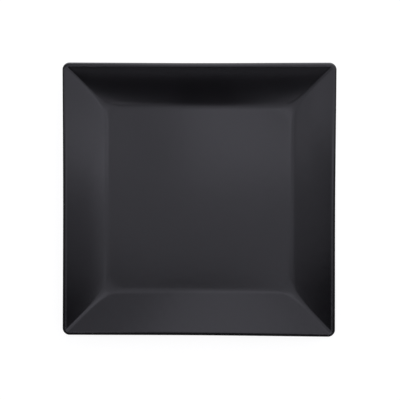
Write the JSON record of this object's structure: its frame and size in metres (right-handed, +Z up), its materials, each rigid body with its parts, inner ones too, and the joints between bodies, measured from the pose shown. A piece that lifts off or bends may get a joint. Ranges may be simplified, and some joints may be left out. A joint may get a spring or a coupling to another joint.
{
  "type": "square dinner plate",
  "caption": "Square stoneware dinner plate with a flat well, a hollow-sloped rim, a rounded lip and a foot ring, in satin black glaze with a bare clay foot.",
  "frame": {"origin": "centre of the plane that the foot ring stands on", "axes": "+Z up out of the well; +X and +Y square to the plate's sides, with +Y towards the side at the top of the picture"},
  "size_m": [0.267, 0.267, 0.0229],
  "materials": {
    "bare_clay": "matt fired stoneware, finely speckled",
    "face_glaze": "satin black glaze",
    "back_glaze": "satin black glaze",
    "base_glaze": "satin black glaze"
  },
  "bodies": {
    "root": {"clay_body": "bare_clay", "face_glaze": "face_glaze", "back_glaze": "back_glaze", "base_glaze": "base_glaze"}
  },
  "joints": []
}
